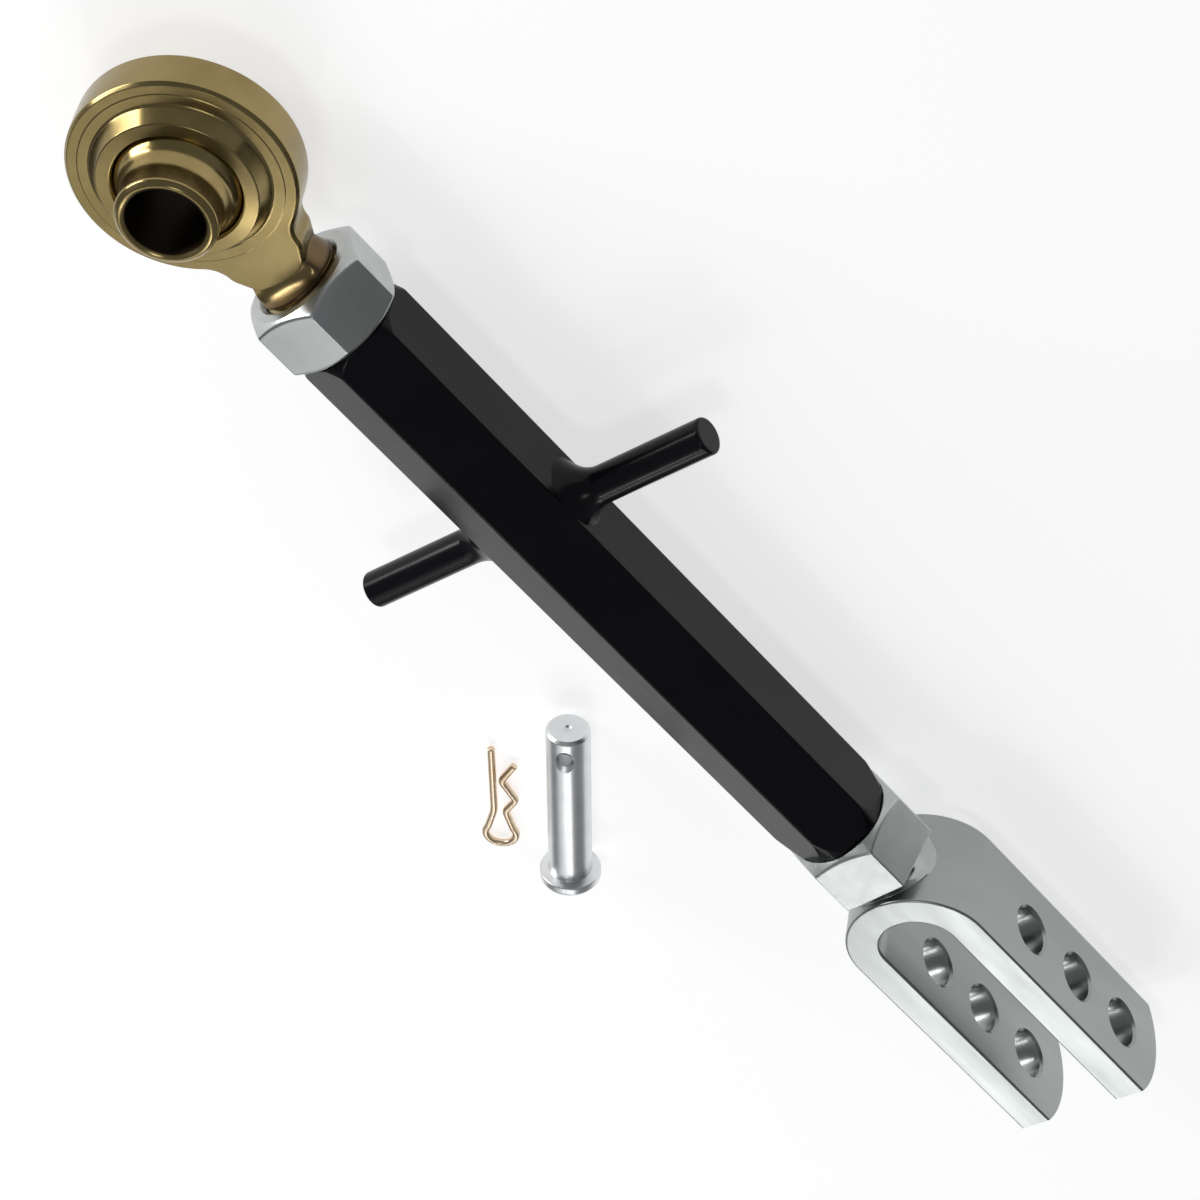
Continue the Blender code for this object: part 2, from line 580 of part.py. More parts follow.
def main():
    clear_scene()
    black = finish("black_powder_coat", (0.012, 0.013, 0.015), 0.38, 0.0)
    zinc = finish("clear_zinc", (0.56, 0.57, 0.56), 0.34, 1.0)
    gold = finish("yellow_zinc", (0.50, 0.36, 0.15), 0.30, 1.0)
    bright = finish("bright_zinc", (0.72, 0.73, 0.74), 0.18, 1.0)
    spring = finish("gold_spring_wire", (0.74, 0.54, 0.36), 0.22, 1.0)

    root = pivot("link_frame", (0, 0, 0))
    clevis_axis = pivot("clevis_axis", (0, 0, 0), root)
    clevis(zinc, clevis_axis)
    clevis_screw(zinc, clevis_axis)
    nut_axis = pivot("clevis_nut_axis", (X_NUT_CLEVIS + NUT_HEIGHT / 2, 0, 0), root)
    lock_nut("lock_nut_clevis_end", -6, (True, False), zinc, nut_axis)
    barrel_axis = pivot("barrel_axis", (X_BARREL + BARREL_LENGTH / 2, 0, 0), root)
    barrel(black, barrel_axis)
    handle(black, barrel_axis)
    nut_axis = pivot("ball_nut_axis", (X_NUT_BALL + NUT_HEIGHT / 2, 0, 0), root)
    lock_nut("lock_nut_ball_end", 7, (True, True), zinc, nut_axis)
    ball_centre = pivot("ball_centre", (0, 0, 0), root)
    ball_end(gold, ball_centre)
    swivel_ball(gold, ball_centre)
    clevis_pin(bright, root)
    hairpin_clip(spring, root)
    shade_round()
    centre_on_floor(root)


main()
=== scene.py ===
import math

import bmesh
import bpy
from mathutils import Matrix, Vector


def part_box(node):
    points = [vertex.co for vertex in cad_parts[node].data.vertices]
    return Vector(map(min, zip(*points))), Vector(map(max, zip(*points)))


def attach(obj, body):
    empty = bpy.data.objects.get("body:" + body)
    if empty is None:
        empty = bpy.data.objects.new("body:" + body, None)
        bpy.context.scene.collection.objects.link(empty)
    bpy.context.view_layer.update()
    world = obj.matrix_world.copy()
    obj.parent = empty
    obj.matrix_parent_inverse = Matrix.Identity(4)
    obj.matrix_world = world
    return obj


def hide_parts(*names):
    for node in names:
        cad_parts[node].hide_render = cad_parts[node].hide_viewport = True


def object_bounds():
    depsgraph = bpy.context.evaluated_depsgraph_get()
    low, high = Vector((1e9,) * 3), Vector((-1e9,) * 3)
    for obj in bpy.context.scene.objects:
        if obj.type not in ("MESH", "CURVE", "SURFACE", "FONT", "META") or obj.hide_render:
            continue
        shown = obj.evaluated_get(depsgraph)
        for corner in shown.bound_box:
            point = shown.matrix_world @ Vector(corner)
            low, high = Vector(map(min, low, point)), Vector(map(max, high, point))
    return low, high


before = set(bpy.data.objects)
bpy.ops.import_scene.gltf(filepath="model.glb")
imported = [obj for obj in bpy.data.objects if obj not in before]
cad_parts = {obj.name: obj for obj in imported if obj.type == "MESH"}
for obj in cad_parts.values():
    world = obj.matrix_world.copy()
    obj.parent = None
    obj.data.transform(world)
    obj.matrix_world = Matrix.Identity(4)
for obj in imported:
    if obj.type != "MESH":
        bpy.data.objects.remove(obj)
cad_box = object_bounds()

# Sizes are millimetres from the centre of the swivel ball, unless a comment says metres: X runs
# along the link to the clevis, Y along the cross handle, Z up the ball's bore.
MM = 0.001
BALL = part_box("swivel_ball")
CENTRE = (Vector(BALL[0]) + Vector(BALL[1])) / 2

# Swivel ball: the ball, its bore, and the sleeve with the skirt at its foot
BALL_R, BORE_R = 18.0, 9.65
SLEEVE_R, SLEEVE_HALF, SKIRT_R = 12.5, 22.0, 13.4

# Ball end: eye, socket, hollow between eye and tongue, tongue with an arc-shaped tip, and neck
EYE_R, EYE_HALF = 28.4, 5.8
SOCKET_R, SOCKET_LIP = 18.3, 9.3
HOLLOW_R = 7.0
TONGUE_HALF, TONGUE_END_HALF, TONGUE_TIP_X = 11.6, 8.7, 38.1
TONGUE_RISE = 2.8
TONGUE_TIP_R = (TONGUE_END_HALF ** 2 + TONGUE_RISE ** 2) / (2 * TONGUE_RISE)
NECK_R, NECK_ROOT, NECK_TOP = 9.2, 29.5, 39.3
SWELL_START, SWELL_END = 31.5, 38.9

# Screws: M22 x 2.5, and the holes that they run in
THREAD_R, THREAD_DEPTH, THREAD_PITCH, THREAD_CHAMFER = 11.0, 1.35, 2.5, 2.0
SCREW_HOLE_R, COUNTERSINK = 11.3, 1.0
BALL_SCREW_END = 124.3

# Barrel, cross handle and nuts
BARREL_FLATS = 28.6
BARREL_START, BARREL_END = 58.5, 266.5
HANDLE_X, HANDLE_R, HANDLE_REACH, HANDLE_EASE = 132.9, 5.0, 55.5, 0.9
NUT_FLATS, NUT_HEIGHT = 31.8, 18.0
BALL_NUT_START, CLEVIS_NUT_START = 40.2, 266.8

# Clevis: flat bar bent round the crown, arms with arc-shaped tips, three pin holes and the screw
CROWN_X, BEND_X, TIP_X = 287.5, 308.15, 396.95
YOKE_INNER, YOKE_OUTER, YOKE_HALF, YOKE_EASE = 11.15, 20.65, 15.9, 0.7
YOKE_MIDDLE, YOKE_THICK = (YOKE_INNER + YOKE_OUTER) / 2, YOKE_OUTER - YOKE_INNER
ARM_RISE = 5.6
ARM_TIP_R = (YOKE_HALF ** 2 + ARM_RISE ** 2) / (2 * ARM_RISE)
FIRST_HOLE_X, HOLE_PITCH = 331.55, 23.6
PIN_HOLE_R, PIN_HOLE_EDGE = 6.75, 0.75
CLEVIS_SCREW_START, CLEVIS_SCREW_END = BARREL_END - 62, CROWN_X + 9.5

# Pin and hairpin clip, which lie loose beside the clevis, on what the sleeve stands on
PIN_R, PIN_LENGTH, PIN_CHAMFER = 6.35, 57.0, 0.9
PIN_PLACE, CLIP_PLACE = (213.2, -56.7), (213.3, -86.14)
PIN_HEAD_R, PIN_HEAD_TOP = 8.9, 61.2
CROSS_HOLE_R, CROSS_HOLE_UP = 2.4, 7.6
WIRE_R = 1.1
LOOSE_ANGLE = -37.4

# Edges sharper than this many degrees stay sharp
SHARP = 28

# Depth of the relief that the finishes have
RELIEF = 0.02


# Shapes

def rounded(corners, steps=4):
    """Points along a profile of (radius, height, setback): each corner with a setback is eased."""
    points = []
    for index, (radius, height, setback) in enumerate(corners):
        here = Vector((radius, height))
        if not setback or index in (0, len(corners) - 1):
            points.append(here)
            continue
        before = (Vector(corners[index - 1][:2]) - here).normalized() * setback
        after = (Vector(corners[index + 1][:2]) - here).normalized() * setback
        points.append(here + before * 1.15)
        for step in range(steps + 1):
            t = step / steps
            points.append(here + before * (1 - t) ** 2 + after * t ** 2)
        points.append(here + after * 1.15)
    return points


def arc(radius, start, end, steps, centre=(0, 0)):
    """Points of an arc from start to end, in degrees."""
    angles = [math.radians(start + (end - start) * step / steps) for step in range(steps + 1)]
    return [Vector((centre[0] + radius * math.cos(angle), centre[1] + radius * math.sin(angle)))
            for angle in angles]


def around(sides):
    """Angles of a full turn."""
    return [2 * math.pi * step / sides for step in range(sides)]


def drawn(points):
    """A new mesh with a line through the points, and that line's geometry."""
    bm = bmesh.new()
    line = [bm.verts.new(point) for point in points]
    return bm, line + [bm.edges.new(pair) for pair in zip(line, line[1:])]


def spun(points, sides):
    """A line of points spun about Z."""
    bm, line = drawn(points)
    bmesh.ops.spin(bm, geom=line, cent=(0, 0, 0), axis=(0, 0, 1), angle=2 * math.pi, steps=sides,
                   use_merge=True)
    return bm


def close_up(bm):
    """Merges poles and seams, and turns the faces outwards."""
    bmesh.ops.remove_doubles(bm, verts=bm.verts, dist=0.0005)
    bmesh.ops.dissolve_degenerate(bm, dist=0.0004, edges=bm.edges)
    bmesh.ops.recalc_face_normals(bm, faces=bm.faces)
    return bm


def turned(profile, sides):
    """A profile of (radius, height) points spun about Z."""
    return close_up(spun([(radius, 0, height) for radius, height in profile], sides))


def skin(rings):
    """A surface over rings with as many points each: a tube is spun, then moved ring by ring."""
    sides = len(rings[0])
    bm = spun([(1, 0, index) for index in range(len(rings))], sides)
    for vert in bm.verts:
        side = round(math.atan2(vert.co.y, vert.co.x) * sides / (2 * math.pi)) % sides
        vert.co = rings[round(vert.co.z)][side]
    return close_up(bm)


def turn(bm, degrees, axis):
    matrix = Matrix.Rotation(math.radians(degrees), 3, axis)
    bmesh.ops.rotate(bm, cent=(0, 0, 0), matrix=matrix, verts=bm.verts)


def shift(bm, x=0, y=0, z=0):
    bmesh.ops.translate(bm, vec=(x, y, z), verts=bm.verts)


def lay_loose(bm, rise, x, y):
    """Raises a piece on to its lowest point and lays it beside the clevis."""
    shift(bm, z=rise)
    turn(bm, LOOSE_ANGLE, 'Z')
    shift(bm, x, y, -SLEEVE_HALF)
    return bm


def loose_object(bm, name):
    """Makes a shape an object of the scene."""
    mesh = bpy.data.meshes.new(name)
    bm.to_mesh(mesh)
    bm.free()
    obj = bpy.data.objects.new(name, mesh)
    bpy.context.scene.collection.objects.link(obj)
    return obj


def join(first, *others):
    """Adds the other shapes' meshes to the first."""
    for other in others:
        mesh = bpy.data.meshes.new("part")
        other.to_mesh(mesh)
        other.free()
        first.from_mesh(mesh)
        bpy.data.meshes.remove(mesh)
    return first


def carve(bm, cutters):
    """Cuts shapes out of a piece."""
    body = loose_object(bm, "body")
    tools = [loose_object(cutter, "cutter") for cutter in cutters]
    for tool in tools:
        cut = body.modifiers.new("cut", 'BOOLEAN')
        cut.operation = 'DIFFERENCE'
        cut.solver = 'EXACT'
        cut.object = tool
    bpy.context.view_layer.update()
    shown = body.evaluated_get(bpy.context.evaluated_depsgraph_get())
    result = bmesh.new()
    result.from_mesh(shown.to_mesh())
    shown.to_mesh_clear()
    for obj in [body, *tools]:
        mesh = obj.data
        bpy.data.objects.remove(obj)
        bpy.data.meshes.remove(mesh)
    return result


def finish_piece(bm, name, body, node, material, weighted=True):
    """Puts a finished shape in its place as a piece that stands for a CAD node."""
    bmesh.ops.scale(bm, vec=(MM, MM, MM), verts=bm.verts)
    shift(bm, *CENTRE)
    piece = loose_object(bm, name)
    piece.data.shade_smooth()
    piece.data.set_sharp_from_angle(angle=math.radians(SHARP))
    piece.data.materials.append(material)
    if weighted:
        even = piece.modifiers.new("even_shading", 'WEIGHTED_NORMAL')
        even.keep_sharp = True
    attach(piece, body)
    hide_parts(node)


# Hexagon bar and nuts

def hex_touch(flats, corner):
    """Half the angle that a hexagon's rounded corner takes up."""
    middle = (flats / 2 - corner) / math.cos(math.pi / 6)
    return math.atan2(corner * 0.5, middle + corner * math.cos(math.pi / 6))


def hex_radius(angle, flats, corner):
    """Distance from the axis to a hexagon with rounded corners; angle 0 points at a corner."""
    middle = (flats / 2 - corner) / math.cos(math.pi / 6)
    off = abs((angle + math.pi / 6) % (math.pi / 3) - math.pi / 6)
    if off < hex_touch(flats, corner):
        return middle * math.cos(off) + math.sqrt(corner ** 2 - (middle * math.sin(off)) ** 2)
    return flats / 2 / math.cos(math.pi / 6 - off)


def hex_angles(flats, corner):
    """Angles round a hexagon, close together at its rounded corners."""
    touch = hex_touch(flats, corner)
    gap = math.pi / 3 - 2 * touch
    angles = []
    for side in range(6):
        start = side * math.pi / 3
        angles += [start + touch * step / 4 for step in range(-4, 5)]
        angles += [start + touch + gap * share
                   for share in (0.02, 0.1, 0.22, 0.36, 0.5, 0.64, 0.78, 0.9, 0.98)]
    return angles


def hexagon_piece(start, length, flats, corner, set_at, low_cut, high_cut):
    """Bored hexagon along X, set at an angle of `set_at` degrees, with rounded long edges.

    A cut is (face radius, slope, edge): the cone that trims one end's corners, and its eased rim.
    """
    angles = hex_angles(flats, corner)
    full = [hex_radius(angle, flats, corner) for angle in angles]
    directions = [angle + math.radians(set_at) for angle in angles]

    def end_rings(face_r, slope, edge):
        """Rings of (radius, depth) from the countersunk hole over the face and trimmed corners."""
        rim = [min(radius - edge, face_r) for radius in full]
        fall = [max(0, radius - face_r) * slope for radius in full]
        rings = [[(SCREW_HOLE_R, COUNTERSINK)] * len(full),
                 [(SCREW_HOLE_R + COUNTERSINK, 0)] * len(full),
                 [(radius - 0.3, 0) for radius in rim],
                 [(radius, 0) for radius in rim],
                 [(min(inner + 0.15, outer - edge * 0.7), 0.075 * slope)
                  for inner, outer in zip(rim, full)]]
        for back, ahead in ((1.0, 0.02), (0.5, 0.12), (0.15, 0.45), (0, 1.0), (0, 1.4)):
            rings.append([(radius - edge * back, max(drop - edge * slope * back, 0) + edge * ahead)
                          for radius, drop in zip(full, fall)])
        return rings

    def placed(ring, end, inwards):
        return [Vector((end + inwards * depth, radius * math.cos(angle), radius * math.sin(angle)))
                for (radius, depth), angle in zip(ring, directions)]

    low = [placed(ring, 0, 1) for ring in end_rings(*low_cut)]
    high = [placed(ring, length, -1) for ring in end_rings(*high_cut)]
    middle = placed([(SCREW_HOLE_R, length / 2)] * len(full), 0, 1)
    bm = skin([middle] + low + high[::-1] + [middle])
    shift(bm, start)
    return bm


# Ball end

def swivel_ball_shape():
    """Ball with a sleeve at each side, its foot filleted into the ball, its rim eased."""
    foot = math.degrees(math.asin(SKIRT_R / BALL_R))
    sleeve = rounded([(BORE_R, 0, 0), (BORE_R, SLEEVE_HALF - 0.7, 0.1),
                      (10.3, SLEEVE_HALF - 0.2, 0.1), (10.75, SLEEVE_HALF, 0.15),
                      (11.3, SLEEVE_HALF, 0.3), (SLEEVE_R, SLEEVE_HALF - 1, 0.5),
                      (SLEEVE_R, 15.2, 0.8), (SKIRT_R, 12.5, 0)])
    upper = sleeve + arc(BALL_R, 90 - foot - 1.2, 0, 18)
    lower = [Vector((point.x, -point.y)) for point in upper[-2::-1]]
    return turned(upper + lower, 160)


def eye_outline(inset):
    """Plan of the eye and its tongue, moved inwards by `inset`: tip, taper, hollow and rim."""
    hollow = Vector((math.sqrt((EYE_R + HOLLOW_R) ** 2 - (TONGUE_HALF + HOLLOW_R) ** 2),
                     TONGUE_HALF + HOLLOW_R))
    touch = math.degrees(math.atan2(hollow.y, hollow.x))
    tip_r = TONGUE_TIP_R - inset
    reach = math.degrees(math.asin((TONGUE_END_HALF - inset) / tip_r))
    tip = arc(tip_r, 0, reach, 10, (TONGUE_TIP_X - TONGUE_TIP_R, 0))
    shoulder = Vector((hollow.x, TONGUE_HALF - inset))
    taper = [tip[-1].lerp(shoulder, step / 8) for step in range(1, 8)]
    side = arc(HOLLOW_R + inset, 270, 180 + touch, 14, hollow)
    rim = arc(EYE_R - inset, touch, 180, 60)
    upper = tip + taper + side + rim[1:]
    for _ in range(2):      # rounds the corner between the tip and the taper
        upper[8:21] = [(upper[place - 1] + 2 * upper[place] + upper[place + 1]) / 4
                       for place in range(8, 21)]
    return upper + [Vector((point.x, -point.y)) for point in upper[-2:0:-1]]


def ball_end_shape():
    """Forging: eye with a raised boss and a spherical socket, tongue, round neck and screw."""
    angles = [math.atan2(point.y, point.x) for point in eye_outline(0)]

    def ring(radius, height):
        return [Vector((radius * math.cos(angle), radius * math.sin(angle), height))
                for angle in angles]

    rim = math.degrees(math.asin(SOCKET_LIP / SOCKET_R))
    lip_r = math.sqrt(SOCKET_R ** 2 - SOCKET_LIP ** 2)
    upper = [ring(*point) for point in arc(SOCKET_R, 0, rim, 8)[:-1]]
    # The socket's lip, the boss's top and bevel, and the turned step in the eye's flat
    upper += [ring(*point) for point in rounded([
        (lip_r, SOCKET_LIP, 0), (lip_r + 0.2, SOCKET_LIP + 0.5, 0.1), (16.2, 10.19, 0.25),
        (19.7, 9.95, 0.25), (21.9, 6.05, 0.35), (22.4, EYE_HALF, 0.15), (24.9, EYE_HALF, 0.1),
        (25.1, EYE_HALF - 0.12, 0.08), (26.4, EYE_HALF - 0.12, 0)])]
    # The flat out to the eased edge of the eye and its tongue, as (inset, drop)
    for inset, drop in ((1.5, 0.12), (1.05, 0.12), (0.9, 0.14), (0.8, 0.2), (0.25, 0.85),
                        (0.17, 0.98), (0.12, 1.15), (0.1, 1.5), (0.05, 3.0), (0.0, EYE_HALF)):
        upper.append([point.to_3d() + Vector((0, 0, EYE_HALF - drop))
                      for point in eye_outline(inset)])
    lower = [[Vector((point.x, point.y, -point.z)) for point in ring] for ring in upper[-2::-1]]
    screw = thread_shape(BALL_NUT_START + 0.4, BALL_SCREW_END, right_hand=True, tip_at_end=True)
    return join(skin(upper + lower), neck_shape(), screw)


def neck_radius(x):
    """Radius of the neck's sides, which swell from the tongue to the screw."""
    share = min(max((x - SWELL_START) / (SWELL_END - SWELL_START), 0), 1)
    return NECK_R + (THREAD_R - NECK_R) * (3 * share ** 2 - 2 * share ** 3)


def neck_shape():
    """Round neck that sweeps up out of the tongue's flats, with fine turned rings by the screw."""
    angles = around(96)
    flat = EYE_HALF - 0.2
    core = flat - 0.3
    sweep_half, sweep_back = 9.6, 2.2
    rings = [[Vector((NECK_ROOT, 0, 0))] * len(angles)]
    # Hidden in the tongue
    for x in (NECK_ROOT, SWELL_START, 33.0, 34.5):
        radius = neck_radius(x)
        rings.append([Vector((x, radius * math.cos(angle),
                              max(min(radius * math.sin(angle), core), -core)))
                      for angle in angles])
    # From the tongue's flats, along its arc-shaped tip, up to the full round
    for share in (0, 0.12, 0.24, 0.36, 0.48, 0.6, 0.7, 0.8, 0.88, 0.95, 1.0):
        swell = 1 - math.sqrt(1 - share ** 2)
        ring = []
        for angle in angles:
            across = sweep_half * math.cos(angle)
            tip_x = TONGUE_TIP_X - TONGUE_TIP_R + math.sqrt(TONGUE_TIP_R ** 2 - across ** 2)
            start = tip_x - sweep_back
            x = start + (NECK_TOP - start) * share
            radius = neck_radius(x)
            full = radius * math.sin(angle)
            held = max(min(full, flat), -flat)
            ring.append(Vector((x, radius * math.cos(angle), held + (full - held) * swell)))
        rings.append(ring)
    # Turned rings, and the end that the screw covers
    for x, radius in ((39.4, 10.97), (39.5, 10.72), (39.65, 10.7), (39.75, 10.9), (39.95, 10.95),
                      (40.1, 10.7), (40.3, 10.6), (41.5, 10.0), (41.5, 0)):
        rings.append([Vector((x, radius * math.cos(angle), radius * math.sin(angle)))
                      for angle in angles])
    return skin(rings)


def thread_shape(start, end, right_hand, tip_at_end):
    """A screw along X with a real helical thread, chamfered at its free tip."""
    sides = 56
    root = THREAD_R - THREAD_DEPTH
    profile = []
    for tooth in range(int((end - start) / THREAD_PITCH) + 3):
        base = start + (tooth - 1.5) * THREAD_PITCH
        profile += [(base, root, 0), (base + 0.3, root, 0), (base + 1.1, THREAD_R, 0),
                    (base + 1.6, THREAD_R, 0), (base + 2.4, root, 0)]
    bm, line = drawn(profile)
    bmesh.ops.spin(bm, geom=line, cent=(0, 0, 0), axis=(1, 0, 0),
                   dvec=(THREAD_PITCH / sides, 0, 0),
                   angle=2 * math.pi if right_hand else -2 * math.pi, steps=sides, use_merge=False)
    bmesh.ops.remove_doubles(bm, verts=bm.verts, dist=0.002)
    for x, outward in ((start, -1), (end, 1)):
        bmesh.ops.bisect_plane(bm, geom=bm.verts[:] + bm.edges[:] + bm.faces[:], dist=0.0001,
                               plane_co=(x, 0, 0), plane_no=(outward, 0, 0), clear_outer=True)
    tip = end if tip_at_end else start
    for vert in bm.verts:
        radius = math.hypot(vert.co.y, vert.co.z)
        limit = THREAD_R - THREAD_CHAMFER + abs(tip - vert.co.x)
        if radius > limit:
            vert.co.y *= limit / radius
            vert.co.z *= limit / radius
    bmesh.ops.holes_fill(bm, edges=[edge for edge in bm.edges if edge.is_boundary], sides=0)
    bmesh.ops.recalc_face_normals(bm, faces=bm.faces)
    return bm


# Clevis end

def yoke_shape():
    """Flat bar bent to a U, with arc-shaped tips, chamfered pin holes and the screw's hole."""
    section = []
    for quarter, (side, end) in enumerate(((1, 1), (-1, 1), (-1, -1), (1, -1))):
        corner = (side * (YOKE_THICK / 2 - YOKE_EASE), end * (YOKE_HALF - YOKE_EASE))
        section += [(point.x, point.y)
                    for point in arc(YOKE_EASE, 90 * quarter, 90 * quarter + 90, 4, corner)]
        if quarter % 2:
            section += [(side * YOKE_THICK / 2, corner[1] * (1 - step / 7))
                        for step in range(1, 14)]

    def tip_x(z):
        return TIP_X - ARM_TIP_R + math.sqrt(ARM_TIP_R ** 2 - z ** 2)

    def arm(side):
        """Rings from an arm's tip, where the first is closed to a line, to the bend."""
        rings = [[Vector((tip_x(z), side * YOKE_MIDDLE, z)) for _, z in section]]
        rings += [[Vector((tip_x(z) - drop, side * (YOKE_MIDDLE + offset), z))
                   for offset, z in section] for drop in (0.02, 0.3, 3)]
        rings += [[Vector((x, side * (YOKE_MIDDLE + offset), z)) for offset, z in section]
                  for x in (384, 360, 335, 318)]
        return rings

    bend = []
    for point in arc(1, 90, 270, 40):
        bend.append([Vector((BEND_X + point.x * (YOKE_MIDDLE + offset),
                             point.y * (YOKE_MIDDLE + offset), z)) for offset, z in section])
    screw_hole = turned([(0, 15), (SCREW_HOLE_R, 15), (SCREW_HOLE_R, -15), (0, -15)], 72)
    turn(screw_hole, 90, 'Y')
    shift(screw_hole, CROWN_X)
    pin_holes = [pin_hole_shape(FIRST_HOLE_X + index * HOLE_PITCH, side)
                 for index in range(3) for side in (1, -1)]
    return carve(skin(arm(1) + bend + arm(-1)[::-1]), [*pin_holes, screw_hole])


def pin_hole_shape(x, side):
    """What is drilled out of an arm for the pin, with a chamfer at both of its faces."""
    half = YOKE_THICK / 2
    rim = PIN_HOLE_R + PIN_HOLE_EDGE + 1
    upper = [(0, half + 2), (rim, half + 2), (rim, half + 1), (PIN_HOLE_R, half - PIN_HOLE_EDGE)]
    bit = turned(upper + [(radius, -height) for radius, height in upper[::-1]], 56)
    turn(bit, 90, 'X')
    shift(bit, x, side * YOKE_MIDDLE)
    return bit


def stud_weld_shape():
    """Hollow fillet round the screw where it enters the crown, seated on the bend."""
    rings = []
    for radius, lift in ((11.3, 2.2), (11.5, 2.3), (11.7, 2.1), (11.8, 1.6), (12.1, 1.0),
                         (12.6, 0.55), (13.3, 0.25), (14.2, 0.08), (14.3, -0.2), (14.3, -1.0),
                         (11.3, -1.0), (11.3, 2.2)):
        ring = []
        for angle in around(96):
            y = radius * math.cos(angle)
            seat = BEND_X - math.sqrt((YOKE_OUTER + 0.1) ** 2 - y ** 2)
            ring.append(Vector((seat - lift, y, radius * math.sin(angle))))
        rings.append(ring)
    return skin(rings)


# Handle, its welds, pin and clip

def handle_shape():
    """Round bar with eased ends, right through the barrel."""
    bar = turned(rounded([(0, HANDLE_REACH, 0), (HANDLE_R, HANDLE_REACH, HANDLE_EASE),
                          (HANDLE_R, 0, 0), (HANDLE_R, -HANDLE_REACH, HANDLE_EASE),
                          (0, -HANDLE_REACH, 0)], 6), 72)
    turn(bar, 90, 'X')
    shift(bar, HANDLE_X)
    return bar


def handle_weld_shape(side):
    """Weld that flares from the handle over the barrel's flat and its two edges.

    It reaches further towards the ball end than towards the clevis.
    """
    face_half = BARREL_FLATS / math.sqrt(3) / 2
    bead_width, bead_height = 5.1, 7.4

    def surface(z):
        """The barrel's surface at height z, a flat between two soft edges, and a little more."""
        past = math.sqrt((abs(z) - face_half) ** 2 + 1.5) + abs(z) - face_half
        return BARREL_FLATS / 2 - past / 2 * math.sqrt(3) + 0.25

    rings = []
    for step in range(21):
        share = step / 20
        lift = bead_height * (1 - share) ** 1.9
        lift += 0.25 * math.sin(math.pi * share) - 0.45 * share ** 6
        ring = []
        for angle in around(96):
            reach = bead_width - 1.5 * math.cos(angle) + 0.5 * math.cos(2 * angle)
            radius = HANDLE_R + 0.03 + reach * share ** 1.5
            x, z = HANDLE_X + radius * math.cos(angle), radius * math.sin(angle)
            ring.append(Vector((x, side * (surface(z) + lift), z)))
        rings.append(ring)
    # Back under the bead, inside the barrel
    for pull, sink in ((0.9, 1.5), (0.45, 2.5)):
        rings.append([Vector((HANDLE_X + (point.x - HANDLE_X) * pull,
                              side * (surface(point.z * pull) - sink), point.z * pull))
                      for point in rings[20]])
    return skin(rings + rings[:1])


def pin_shape():
    """Headed pin with a chamfered, centred tip and a countersunk cross hole.

    It is made upright on its tip and tipped over until it rests on the rim of its head.
    """
    pin = turned(rounded([
        (0, PIN_HEAD_TOP, 0), (7.6, PIN_HEAD_TOP, 0.5), (PIN_HEAD_R, 59.9, 0.6),
        (PIN_HEAD_R, PIN_LENGTH + 0.3, 0.4), (PIN_R, PIN_LENGTH, 0.2), (PIN_R, 30, 0),
        (PIN_R, PIN_CHAMFER, 0.2), (PIN_R - PIN_CHAMFER, 0, 0.2), (1.15, 0, 0.1), (0, 1.1, 0)]), 96)
    upper = [(0, 8), (6, 8), (6, 7.4), (CROSS_HOLE_R, 5.4)]
    hole = turned(upper + [(radius, -height) for radius, height in upper[::-1]], 48)
    turn(hole, 90, 'Y')
    shift(hole, z=CROSS_HOLE_UP)
    pin = carve(pin, [hole])
    tilt = math.atan2(PIN_HEAD_R - PIN_R, PIN_LENGTH - PIN_CHAMFER)
    turn(pin, 90 - math.degrees(tilt), 'Y')
    return lay_loose(pin, PIN_R * math.cos(tilt) + PIN_CHAMFER * math.sin(tilt), *PIN_PLACE)


def clip_route():
    """Centre line of the clip's wire: straight leg, teardrop loop, bowed leg and flare."""
    loop_r, neck_x, neck, loop_x = 4.5, 26.8, 3.3, 36.9
    apart = math.hypot(loop_x - neck_x, neck / 2)
    lean = math.acos(loop_r / apart) - math.atan2(neck / 2, loop_x - neck_x)
    touch = 180 - math.degrees(lean)
    loop = [(point.x, point.y, 0) for point in arc(loop_r, -touch, touch, 28, (loop_x, neck / 2))]
    route = rounded([(0, 0, 0), (neck_x, 0, 2.0), *loop, (neck_x, neck, 1.4), (21.6, 6.6, 1.2),
                     (13.7, 2.5, 1.4), (6.6, 6.6, 0)], 8)
    return [point.to_3d() for point in route]


def clip_shape():
    """Round wire along the clip's centre line, with its ends eased."""
    line = clip_route()
    angles = around(20)
    rings = []
    for index, place in enumerate(line):
        before, after = line[max(index - 1, 0)], line[min(index + 1, len(line) - 1)]
        ahead = (after - place).normalized() + (place - before).normalized()
        across = Vector((-ahead.y, ahead.x, 0)).normalized()
        rings.append([place + across * WIRE_R * math.cos(angle)
                      + Vector((0, 0, WIRE_R * math.sin(angle))) for angle in angles])
    caps = []
    for end, inner in ((0, 1), (-1, -2)):
        out = (line[end] - line[inner]).normalized()
        caps.append([line[end] + (point - line[end]) * 0.72 for point in rings[end]])
        rings[end] = [point - out * 0.3 for point in rings[end]]
    poles = [[line[end]] * len(angles) for end in (0, -1)]
    return lay_loose(skin([poles[0], caps[0], *rings, caps[1], poles[1]]), WIRE_R, *CLIP_PLACE)


# Materials

def tint(hexcode):
    """A hex colour in sRGB as linear RGBA."""
    values = [int(hexcode[place:place + 2], 16) / 255 for place in (1, 3, 5)]
    return (*[v / 12.92 if v <= 0.04045 else ((v + 0.055) / 1.055) ** 2.4 for v in values], 1)


